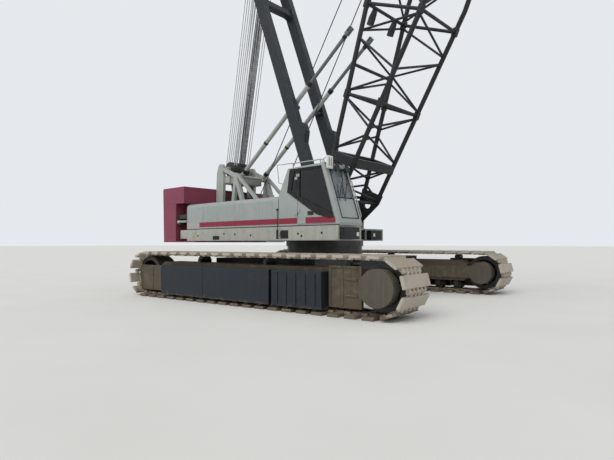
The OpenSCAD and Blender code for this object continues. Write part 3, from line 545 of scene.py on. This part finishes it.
paint_nodes(grey_enamel, "gantry")
plates = []
for y in PLATE_YS:
    plates.append(side_plate(REAR_LEG, y - 0.004, y + PLATE_T + 0.004, 0.006))
    plates.append(side_plate(FRONT_STRUT, y, y + PLATE_T, 0.006))
plates.append(block((-3.30, -0.515, 2.87), (-2.86, 0.515, 3.10), 0.015, 2))
plates += [block((-3.31, y, 2.90), (-2.85, y + STIFFENER_T, 3.07), 0.006) for y in STIFFENER_YS]
fit("gantry_plates", plates, grey_enamel)
discs = []
for i in range(HEAD_SHEAVES):
    y = (i - HEAD_SHEAVES // 2) * HEAD_PITCH
    for y0, y1, radius, chamfer in ((-0.038, -0.012, RIM_R, 0.006), (-0.013, 0.013, GROOVE_R, 0.0),
                                    (0.012, 0.038, RIM_R, 0.006)):
        discs.append(rod((HEAD.x, y + y0, HEAD.z), (HEAD.x, y + y1, HEAD.z), radius, 32, chamfer))
bundle = fit("gantry_head_sheaves", discs, greased)
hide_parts("gantry_sheaves")
hoses = []
for x0, x1, y, low in HOSES:
    route = [(x0, y, 2.86), (x0 + 0.02, y, 2.6), ((x0 + x1) / 2, y + 0.05, low), (x1, y + 0.08, low + 0.05),
             (x1 + 0.15, y + 0.1, 2.15), (x1 + 0.2, y + 0.1, 1.98)]
    hoses.append(pipe(route, HOSE_R, order=4))
fit("gantry_hoses", hoses, rubber)

# Cab. A welded steel shell and a rear-hinged door with tinted panes in black rubber; the surrounds, the split
# of the windscreen and the painted panel under it are glued in, and the handle and duct are bolted on.
REAR_FRAME = [(0.385, 2.795), (0.31, 2.31), (0.590, 2.145), (0.590, 2.79)]
REAR_PANE = [(0.41, 2.315), (0.54, 2.245), (0.54, 2.75), (0.505, 2.76)]
DOOR_FRAME = [(0.613, 2.13), (1.148, 1.815), (1.46, 1.735), (1.60, 1.745), (1.262, 2.785), (0.613, 2.785)]
DOOR_PANE = [(0.67, 2.20), (1.57, 1.805), (1.245, 2.75), (0.67, 2.75)]
BEAD_R, SCREEN_BEAD_R, SPLIT_R, HANDLE_R = 0.009, 0.011, 0.012, 0.009
SCREEN_FOOT, SCREEN_TOP = Vector((1.745, 0, 1.640)), Vector((1.340, 0, 2.850))
PANE_OUT, PANE_IN, PANE_LOW, PANE_SPLIT, PANE_HIGH = -1.467, -0.922, 0.09, 0.53, 1.18
PANEL_W, PANEL_H, PANEL_T, PANEL_UP, PANEL_Y, PANEL_BACK = 0.545, 0.43, 0.006, 0.31, -1.1945, 0.018

# Warm light grey enamel, sprayed: as on the houses, with fewer streaks under the roof's edge.
cab_enamel = weathered_enamel("warm light grey enamel of the cab", *WARM_GREY, streaks=0.15)
overpaint(cab_enamel, STRIPE_RED, [STRIPE], [(-0.2, 0.44)])
overpaint(cab_enamel, SEAM_BLACK, [SEAM], cover=0.9)
door_enamel = weathered_enamel("warm light grey enamel of the door", *WARM_GREY, streaks=0.15)
overpaint(door_enamel, STRIPE_RED, [STRIPE], [(0.68, 1.6)])
# Black plastic, moulded: a soft black with a slight sheen on its rounded edges.
plain_dark = weathered_enamel("moulded black plastic", "#202122", "#26282a", "#4a4843", 0.1)

# Tinted safety glass, float made: dark side panes that show a little of the inside, a hazy windscreen painted
# pale blue grey as a painted reflection of the sky, and a film of dust in clouds about 140 mm wide that dulls
# the shine.
tinted_glass = bpy.data.materials.new("tinted safety glass")
tinted_glass.use_nodes = True
tree = tinted_glass.node_tree
surface = tree.nodes["Principled BSDF"]
surface.inputs["IOR"].default_value = 1.45
coords = add(tree, "ShaderNodeTexCoord")
haze = add(tree, "ShaderNodeTexNoise", {"Vector": coords.outputs["Object"], "Scale": 7.0, "Detail": 4.0})
tint = add(tree, "ShaderNodeMix", {"Factor": haze.outputs["Fac"], 6: linear("#30383c"), 7: linear("#3d464a")},
           data_type="RGBA")
# The front faces' pale blue grey, mottled by the haze, is a painted reflection of the sky.
dust = add(tree, "ShaderNodeMix", {"Factor": haze.outputs["Fac"], 6: linear("#7f8d97"), 7: linear("#a3b0b8")},
           data_type="RGBA")
facing = add(tree, "ShaderNodeSeparateXYZ", {0: coords.outputs["Normal"]})
front = add(tree, "ShaderNodeMath", {0: facing.outputs[0], 1: 0.7}, operation="GREATER_THAN")
tint_and_painted_sky = add(tree, "ShaderNodeMix", {"Factor": front.outputs[0], 6: tint.outputs[2], 7: dust.outputs[2]},
           data_type="RGBA")
clear = add(tree, "ShaderNodeMapRange", {"Value": front.outputs[0], "To Min": 0.9, "To Max": 0.5})
film = add(tree, "ShaderNodeMapRange", {"Value": haze.outputs["Fac"], "From Min": 0.35, "From Max": 0.75,
                                        "To Min": 0.02, "To Max": 0.16})
tree.links.new(clear.outputs[0], surface.inputs["Transmission Weight"])
tree.links.new(tint_and_painted_sky.outputs[2], surface.inputs["Base Color"])
tree.links.new(film.outputs[0], surface.inputs["Roughness"])

def cut(piece, cutter):
    """Takes the cutter's shape out of a piece."""
    deselect()
    piece.select_set(True)
    bpy.context.view_layer.objects.active = piece
    tool = piece.modifiers.new("cut", "BOOLEAN")
    tool.object = cutter
    bpy.ops.object.modifier_apply(modifier=tool.name)
    bpy.data.objects.remove(cutter)
    return piece

def window_surround(outline, opening):
    """A flat black surround with its bead, on the right flank."""
    flat = cut(side_plate(outline, -FLANK - 0.006, -FLANK + 0.001),
               side_plate(opening, -FLANK - 0.03, -FLANK + 0.02, 0))
    return [flat, pipe([(x, -FLANK - 0.005, z) for x, z in outline], BEAD_R, closed=True)]

paint_nodes(cab_enamel, "cab_shell")
paint_nodes(door_enamel, "cab_door")
paint_nodes(tinted_glass, "cab_glass", "door_glass")
fit("rear_seal", window_surround(REAR_FRAME, REAR_PANE), rubber)
fit("door_seal", window_surround(DOOR_FRAME, DOOR_PANE), rubber, "door")
handle = [pipe([(0.93, -FLANK - 0.005, 1.86), (0.93, -FLANK - 0.04, 1.86), (1.05, -FLANK - 0.04, 1.86),
                (1.05, -FLANK - 0.005, 1.86)], HANDLE_R),
          block((0.90, -FLANK - 0.012, 1.80), (1.06, -FLANK + 0.002, 1.88), 0.006, 2)]
fit("door_handle", handle, plain_dark, "door")
duct = [block((0.445, -1.50, 2.615), (0.52, -1.42, 2.80), 0.012, 2),
        block((0.415, -1.53, 2.545), (0.555, -1.40, 2.62), 0.02, 3)]
fit("cab_duct", duct, plain_white)

slope = (SCREEN_TOP - SCREEN_FOOT).normalized()
out = Vector((slope.z, 0, -slope.x))

def on_screen(up, y, proud=0.0):
    """A point of the windscreen's plane: up the slope from its foot, across, and in front of it."""
    return tuple(SCREEN_FOOT + slope * up + out * proud + Vector((0, y, 0)))

screen_parts = [pipe([on_screen(PANE_LOW, PANE_OUT, 0.004), on_screen(PANE_HIGH, PANE_OUT, 0.004),
                      on_screen(PANE_HIGH, PANE_IN, 0.004), on_screen(PANE_LOW, PANE_IN, 0.004)],
                     SCREEN_BEAD_R, closed=True),
                pipe([on_screen(PANE_SPLIT, PANE_OUT, -0.012), on_screen(PANE_SPLIT, PANE_IN, -0.012)],
                     SPLIT_R)]
fit("screen_seal", screen_parts, rubber)
deselect()
bpy.ops.mesh.primitive_plane_add(size=1)
panel = bpy.context.object
bpy.ops.object.mode_set(mode="EDIT")
bpy.ops.transform.resize(value=(PANEL_W, PANEL_H, 1.0))
bpy.ops.mesh.subdivide(number_cuts=3)
bpy.ops.mesh.extrude_region_move(TRANSFORM_OT_translate={"value": (0, 0, PANEL_T)})
bpy.ops.object.mode_set(mode="OBJECT")
on_slope = Matrix(((0, slope.x, out.x, 0), (1, 0, 0, 0), (0, slope.z, out.z, 0), (0, 0, 0, 1)))
panel = moved(panel, Matrix.Translation(on_screen(PANEL_UP, PANEL_Y, -PANEL_BACK)) @ on_slope)
panel.name = "screen_lower_panel"
finish_piece(moved(panel, UPPER), cab_enamel, "upper")

# Cab fittings. Two rubber-bladed wipers and three round lamps in black plastic, on a bar under the roof's
# front edge, with bent steel grab rails over the roof and up the inner corner post. Rows of wipers are the
# places of the pivot and of the blade.
WIPERS = ((-1.15, -1.38), (-1.0, -1.2))
ARM_R, BLADE_R, PIVOT_R, PIVOT_HALF = 0.008, 0.007, 0.022, 0.03
LAMP_X, LAMP_YS, LAMP_Z, LAMP_R, LAMP_RIM_R = 1.475, (-1.46, -1.31, -0.98), 2.745, 0.062, 0.068
LAMP_BAR_R, ROOF_RAIL_R, POST_RAIL_R = 0.012, 0.011, 0.013
LAMP_BAR = [(1.33, -1.53, 2.842), (1.44, -1.53, 2.842), (1.44, -0.90, 2.842), (1.33, -0.90, 2.842)]
REAR_RAIL = [(0.16, -FLANK + 0.03, 2.50), (0.01, -FLANK + 0.03, 2.54), (-0.045, -FLANK + 0.03, 2.94),
             (0.42, -FLANK + 0.04, 2.93)]
FRONT_RAIL = [(1.2, -FLANK + 0.06, 2.93), (1.29, -FLANK + 0.06, 2.92), (1.31, -FLANK + 0.06, 2.845)]
POST_RAIL = [(1.68, -0.86, 1.70), (1.70, -0.815, 1.78), (1.46, -0.815, 2.5), (1.42, -0.86, 2.56)]

wipers = []
for y0, y1 in WIPERS:
    wipers.append(pipe([on_screen(1.12, y0, 0.03), on_screen(0.95, y0, 0.035), on_screen(0.55, y1, 0.02)],
                       ARM_R))
    wipers.append(pipe([on_screen(0.8, y1 + 0.02, 0.012), on_screen(0.45, y1 - 0.02, 0.012)], BLADE_R))
    wipers.append(rod(on_screen(1.12, y0 - PIVOT_HALF, 0.03), on_screen(1.12, y0 + PIVOT_HALF, 0.03),
                      PIVOT_R, 12, 0.004))
fit("wipers", wipers, rubber)
lamps = []
for y in LAMP_YS:
    lamps.append(rod((LAMP_X - 0.07, y, LAMP_Z), (LAMP_X, y, LAMP_Z), LAMP_R, 20, 0.012))
    lamps.append(rod((LAMP_X, y, LAMP_Z), (LAMP_X + 0.014, y, LAMP_Z), LAMP_RIM_R, 20, 0.004))
    lamps.append(block((LAMP_X - 0.05, y - 0.012, LAMP_Z + 0.05), (LAMP_X - 0.02, y + 0.012, LAMP_Z + 0.11),
                       0.003))
lamps.append(pipe(LAMP_BAR, LAMP_BAR_R))
fit("work_lamps", lamps, plain_dark)
rails = [pipe(route, radius, sides=1) for route, radius in (
    (REAR_RAIL, ROOF_RAIL_R), (FRONT_RAIL, ROOF_RAIL_R), (POST_RAIL, POST_RAIL_R))]
fit("grab_rails", rails, grey_enamel)
paint_nodes(grey_enamel, "roof_rail")

# Mirror. A moulded white housing with two slots in its back, drawn as thin dark strips of painted shade,
# clamped on a bent tube that is bolted to the roof.
MIRROR_TUBE_R, SLOT_YS, SLOT_W = 0.0125, (-1.632, -1.575), 0.016
MIRROR_TUBE = [(1.25, -1.517, 2.852), (1.27, -1.520, 2.93), (1.36, -1.535, 2.955), (1.49, -1.560, 2.93)]
housing = [block((1.476, -1.677, 2.70), (1.524, -1.497, 2.96), 0.021, 3), pipe(MIRROR_TUBE, MIRROR_TUBE_R)]
mirror = fit("mirror_housing", housing, plain_white)
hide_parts("cab_mirror")
# The two slots are painted shade: thin dark strips in black rubber on the housing's back.
painted_slot_shades = [block((1.518, y, 2.75), (1.527, y + SLOT_W, 2.915), 0.003) for y in SLOT_YS]
fit("mirror_slot_painted_shade", painted_slot_shades, rubber)

# Seat and controls. Black vinyl cushions on a pedestal, and a console with three levers, seen dimly through
# the tinted panes. Rows are the two corners, the edge's radius and its steps.
CUSHIONS = (((0.47, -1.41, 1.80), (0.89, -1.03, 1.895), 0.035, 4),
            ((0.44, -1.40, 1.90), (0.54, -1.04, 2.44), 0.035, 4),
            ((0.52, -1.36, 1.62), (0.86, -1.08, 1.80), 0.02, 2),
            ((0.505, -1.435, 2.02), (0.80, -1.39, 2.08), 0.02, 3),
            ((0.505, -1.05, 2.02), (0.80, -1.005, 2.08), 0.02, 3))
CONSOLE = (((1.21, -1.45, 1.615), (1.42, -1.10, 1.93), 0.02, 2),
           ((1.25, -1.43, 1.93), (1.40, -1.12, 1.995), 0.015, 2))
LEVER_YS, LEVER_R = (-1.38, -1.27, -1.17), 0.012
driver_seat = fit("seat_cushions", [block(*row) for row in CUSHIONS], plain_dark)
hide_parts("seat")
controls = [block(*row) for row in CONSOLE]
controls += [rod((1.26, y, 1.97), (1.235, y, 1.999), LEVER_R, 10, 0.003) for y in LEVER_YS]
stand = fit("control_console", controls, plain_dark)
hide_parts("console")

# Boom. Pinned sections of four tube chords with a zigzag of welded lacing tubes on every face. The butt has
# heavy frames where its diagonals bear, a ring of box beams above the feet, bored foot plates and the lugs
# for the backstops. Stations are the distance from the foot and the height of the rear and front chords.
FOOT = Vector((0.45, 0, 1.75))
BOOM = math.radians(67)
PIN_BORE_R, FOOT_BOSS_R = 0.046, 0.118
STATIONS = ((0.6, 0.06, -0.354), (5.1, 0.566, -0.906), (6.2, 0.566, -0.906))
CHORD_Y, CHORD_R, COUPLING_R, TIE_R, LACE_R = 0.717, 0.051, 0.063, 0.0357, 0.025
LACE_IN, LACE_OFF = 0.037, 0.075
CHORD_FOOT, CHORD_BEND, BUTT_END, COUPLING_END = 0.6, 5.1, 6.026, 6.041
BAYS = (CHORD_FOOT, 1.0, 1.56, 2.18, 2.8, 3.42, 4.04, 4.66, BUTT_END)
FRAMES, KNUCKLES, REAR_TIE, BOX_RING = (CHORD_FOOT, 2.8, 4.66, BUTT_END), (2.8, 4.66), 3.42, 1.47
MEETS = (((-1, 0), (1, 1)), ((-1, 1), (1, 0)))
CORNERS = ((-1, 0), (-1, 1), (1, 0), (1, 1))
BOX_HALF_L, BOX_HALF_H, KNUCKLE_HALF_L, KNUCKLE_HALF_H = 0.10, 0.07, 0.09, 0.056
BOSS_W, BOSS_Y, CHEEK_HALF_T, LIGHTENING_HOLE = 0.115, {1: 0.662, -1: -0.777}, 0.03, (0.10, 0.50, -0.13)
STOP_Y, STOP_LUG_HALF_T = 0.385, 0.045
CHEEK = [(-0.02, 0.11), (0.60, 0.13), (0.82, 0.155), (0.82, -0.455), (0.60, -0.425), (0.02, -0.115)]
STOP_LUG = [(4.31, 0.48), (4.47, 0.48), (4.69, 0.50), (4.69, 0.56), (4.47, 0.614), (4.31, 0.614)]

def corner(s, side, face):
    """Centre of a chord at distance s from the foot; face 0 is the rear and 1 the front."""
    low, high = (STATIONS[0], STATIONS[1]) if s <= STATIONS[1][0] else (STATIONS[1], STATIONS[2])
    share = (s - low[0]) / (high[0] - low[0])
    return Vector((s, side * CHORD_Y, low[1 + face] + (high[1 + face] - low[1 + face]) * share))

def lacing(p, q):
    """A tube between two chords, its ends just inside them."""
    step = (q - p).normalized() * LACE_IN
    return rod(p + step, q - step, LACE_R, 10)

def tie_frame(s):
    """Four tubes round the boom."""
    return [rod(corner(s, a, f), corner(s, b, g), TIE_R, 14)
            for a, f, b, g in ((-1, 0, 1, 0), (-1, 1, 1, 1), (-1, 0, -1, 1), (1, 0, 1, 1))]

def pin_bore(radius=PIN_BORE_R, x=0, z=0):
    """A cutter for a bore across the machine."""
    return rod((x, -1, z), (x, 1, z), radius, 32)

paint_nodes(black_enamel, "boom_insert", "boom_tip")
paint_nodes(greased, "boom_sheaves", "foot_pins", "pendants")
parts = []
for side, face in CORNERS:
    parts.append(rod(corner(CHORD_FOOT, side, face), corner(CHORD_BEND, side, face), CHORD_R, 20))
    parts.append(rod(corner(CHORD_BEND, side, face), corner(BUTT_END, side, face), CHORD_R, 20))
    parts.append(rod(corner(BUTT_END, side, face), corner(COUPLING_END, side, face), COUPLING_R, 20, 0.003))
for i in range(len(BAYS) - 1):
    for p in MEETS[i % 2]:
        for q in MEETS[(i + 1) % 2]:
            parts.append(lacing(corner(BAYS[i] + LACE_OFF, *p), corner(BAYS[i + 1] - LACE_OFF, *q)))
for s in FRAMES:
    parts += tie_frame(s)
parts.append(rod(corner(REAR_TIE, -1, 0), corner(REAR_TIE, 1, 0), TIE_R, 14))
rear, front = corner(BOX_RING, 1, 0).z, corner(BOX_RING, 1, 1).z
for level in (rear, front):
    parts.append(block((BOX_RING - BOX_HALF_L, -CHORD_Y, level - BOX_HALF_H),
                       (BOX_RING + BOX_HALF_L, CHORD_Y, level + BOX_HALF_H), 0.008))
for side in (-1, 1):
    parts.append(block((BOX_RING - BOX_HALF_L, side * CHORD_Y - BOX_HALF_H, front),
                       (BOX_RING + BOX_HALF_L, side * CHORD_Y + BOX_HALF_H, rear), 0.008))
    cheek = side_plate(CHEEK, side * CHORD_Y - CHEEK_HALF_T, side * CHORD_Y + CHEEK_HALF_T)
    cheek = cut(cheek, pin_bore(*LIGHTENING_HOLE))
    parts.append(cut(cheek, pin_bore()))
    boss = rod((0, BOSS_Y[side], 0), (0, BOSS_Y[side] + BOSS_W, 0), FOOT_BOSS_R, 40, 0.006)
    parts.append(cut(boss, pin_bore()))
    parts.append(side_plate(STOP_LUG, side * STOP_Y - STOP_LUG_HALF_T, side * STOP_Y + STOP_LUG_HALF_T,
                            0.005))
for s in KNUCKLES:
    for side, face in CORNERS:
        c = corner(s, side, face)
        half = Vector((KNUCKLE_HALF_L, KNUCKLE_HALF_H, KNUCKLE_HALF_H))
        parts.append(block(tuple(c - half), tuple(c + half), 0.012))
on_boom = UPPER @ Matrix.Translation(FOOT) @ Matrix.Rotation(-BOOM, 4, "Y")
butt = fit("boom_butt_lattice", parts, black_enamel, "boom", on_boom)
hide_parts("boom_butt")

# Mast. Two deep box legs welded from plate, tapering at both ends, with flared cross ties, round rests for
# the backstops, noses that meet the boom and the axle of the head.
MAST = math.radians(110.5)
MAST_HEAD, LEG_Y, LEG_BOSS_R, AXLE_R = 7.8, 0.56, 0.115, 0.06
LEG_HALF_T, REST_X, REST_Z, REST_R, REST_IN_Y = 0.085, 2.983, -0.0365, 0.06, 0.335
LEG = [(0, -0.11), (0.5, -0.145), (7.4, -0.145), (7.88, -0.09), (7.88, 0.09), (7.4, 0.145), (0.5, 0.145),
       (0, 0.11)]
NOSE = [(1.9, -0.135), (2.15, -0.28), (2.35, -0.28), (2.5, -0.135)]
CROSS_TIES, TIE_HALF_T = (6.15, 7.3), 0.09

# Blue black enamel, sprayed: a dark slate that parts the mast from the black boom, with faint streaks.
mast_enamel = weathered_enamel("blue black enamel", "#10171e", "#182129", "#3c3a35", 0.08, streaks=0.15)
paint_nodes(greased, "mast_sheaves")
parts = []
for side in (-1, 1):
    y0, y1 = side * LEG_Y - LEG_HALF_T, side * LEG_Y + LEG_HALF_T
    parts.append(cut(side_plate(LEG, y0, y1, 0.008), pin_bore()))
    parts.append(cut(rod((0, y0, 0), (0, y1, 0), LEG_BOSS_R, 40, 0.006), pin_bore()))
    parts.append(side_plate(NOSE, y0, y1, 0.006))
    parts.append(rod((REST_X, side * REST_IN_Y, REST_Z), (REST_X, side * LEG_Y, REST_Z), REST_R, 28, 0.005))
for s in CROSS_TIES:
    flared = [(s - 0.2, -LEG_Y), (s + 0.2, -LEG_Y), (s + 0.09, -0.33), (s + 0.09, 0.33), (s + 0.2, LEG_Y),
              (s - 0.2, LEG_Y), (s - 0.09, 0.33), (s - 0.09, -0.33)]
    parts.append(moved(side_plate(flared, -TIE_HALF_T, TIE_HALF_T, 0.006),
                       Matrix.Rotation(math.pi / 2, 4, "X")))
parts.append(rod((MAST_HEAD, -LEG_Y, 0), (MAST_HEAD, LEG_Y, 0), AXLE_R, 28))
on_mast = UPPER @ Matrix.Translation(FOOT) @ Matrix.Rotation(-MAST, 4, "Y")
legs = fit("mast_legs", parts, mast_enamel, "mast", on_mast)
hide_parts("mast")

# Backstops. Grey tubes with steel rods that slide in them, and dark clamp rings with a bolt lug at both ends
# of each tube. Rows are the place along the stop, the length and the radius.
STOP = math.radians(38)
APEX = Vector((-2.69, 0, 3.047))
TUBE_RINGS = ((0.16, 0.11, 0.066), (1.25, 0.06, 0.064), (3.19, 0.11, 0.066))
ROD_RINGS = ((4.56, 0.08, 0.052),)

# Dull grey steel, turned and left bare: darker than the tubes, with dust where oil has dried.
rod_steel = weathered_enamel("dull grey steel", "#62686b", "#6f7578", "#5c594e", 0.12)
paint_nodes(grey_enamel, "stop_tubes")
paint_nodes(rod_steel, "stop_rods")
for name, body, rows in (("stop_collars", "stop_tube_pair", TUBE_RINGS),
                         ("rod_collars", "stop_rod_pair", ROD_RINGS)):
    rings = []
    for y in (-STOP_Y, STOP_Y):
        for at, length, radius in rows:
            p = APEX + Vector((at * math.cos(STOP), y, at * math.sin(STOP)))
            q = p + Vector((length * math.cos(STOP), 0, length * math.sin(STOP)))
            rings.append(rod(p, q, radius, 24, 0.006))
    fit(name, rings, black_enamel, body)

# Running ropes. Thirteen parts of boom hoist rope, painted pale as rope lit by the sky, and seven dark bridle
# parts join the gantry head to the mast head, and two hoist ropes run from the drums over the boom point. All
# are taut steel rope. Runs are the distance before the sheaves' axle and the number of the sheave.
BOOM_LENGTH, MAST_PITCH = 15.24, 0.105
HOIST_R, BRIDLE_R, LIFT_R = 0.011, 0.012, 0.012
LIFT_ENDS = (((-2.542, -0.16, 1.928), -0.14), ((-1.585, -0.16, 2.035), 0.14))
SKY_LIT_RUNS = [(-0.19, 0.75 * i) for i in range(-4, 5)] + [(0.19, i) for i in (-3, -2.2, 2.2, 3)]
DARK_RUNS = [(0.19, 0.4 * i) for i in range(-3, 4)]

def along(angle, s, y, n):
    """A point at distance s along the mast or boom, y across and n above its axis."""
    return FOOT + Vector((s * math.cos(angle) - n * math.sin(angle), y,
                          s * math.sin(angle) + n * math.cos(angle)))

def stretch(name, ropes, material):
    """Joins taut ropes that run from the upper works to another body."""
    piece = moved(join(name, ropes), UPPER)
    clothe(piece, material)
    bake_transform(piece)

# Boom hoist rope painted a pale silvery grey, as painted sky light, with a soft shine and no streaks.
sky_lit_rope = weathered_enamel("steel rope painted as lit by the sky", "#b4b6ba", "#c6c8cb", "#a09c94", 0.1, rough=0.4, streaks=0.0)
mast_head = along(MAST, MAST_HEAD, 0, 0)
for name, material, radius, runs in (("boom_hoist_ropes", sky_lit_rope, HOIST_R, SKY_LIT_RUNS),
                                     ("bridle_ropes", rope_steel, BRIDLE_R, DARK_RUNS)):
    ropes = [rod(HEAD + Vector((dx, i * HEAD_PITCH, 0.10)),
                 mast_head + Vector((dx * 0.9, i * MAST_PITCH, -0.13)), radius, 8, 0.001) for dx, i in runs]
    stretch(name, ropes, material)
lift = [rod(drum_end, along(BOOM, BOOM_LENGTH, y, 0.02), LIFT_R, 8, 0.001) for drum_end, y in LIFT_ENDS]
stretch("hoist_ropes", lift, rope_steel)

# Hook block. A maroon weighted block hangs on the hoist ropes, with a forged steel hook that turns under it
# on a greased thrust bearing.
paint_nodes(maroon_enamel, "hook_block")
paint_nodes(greased, "hook")
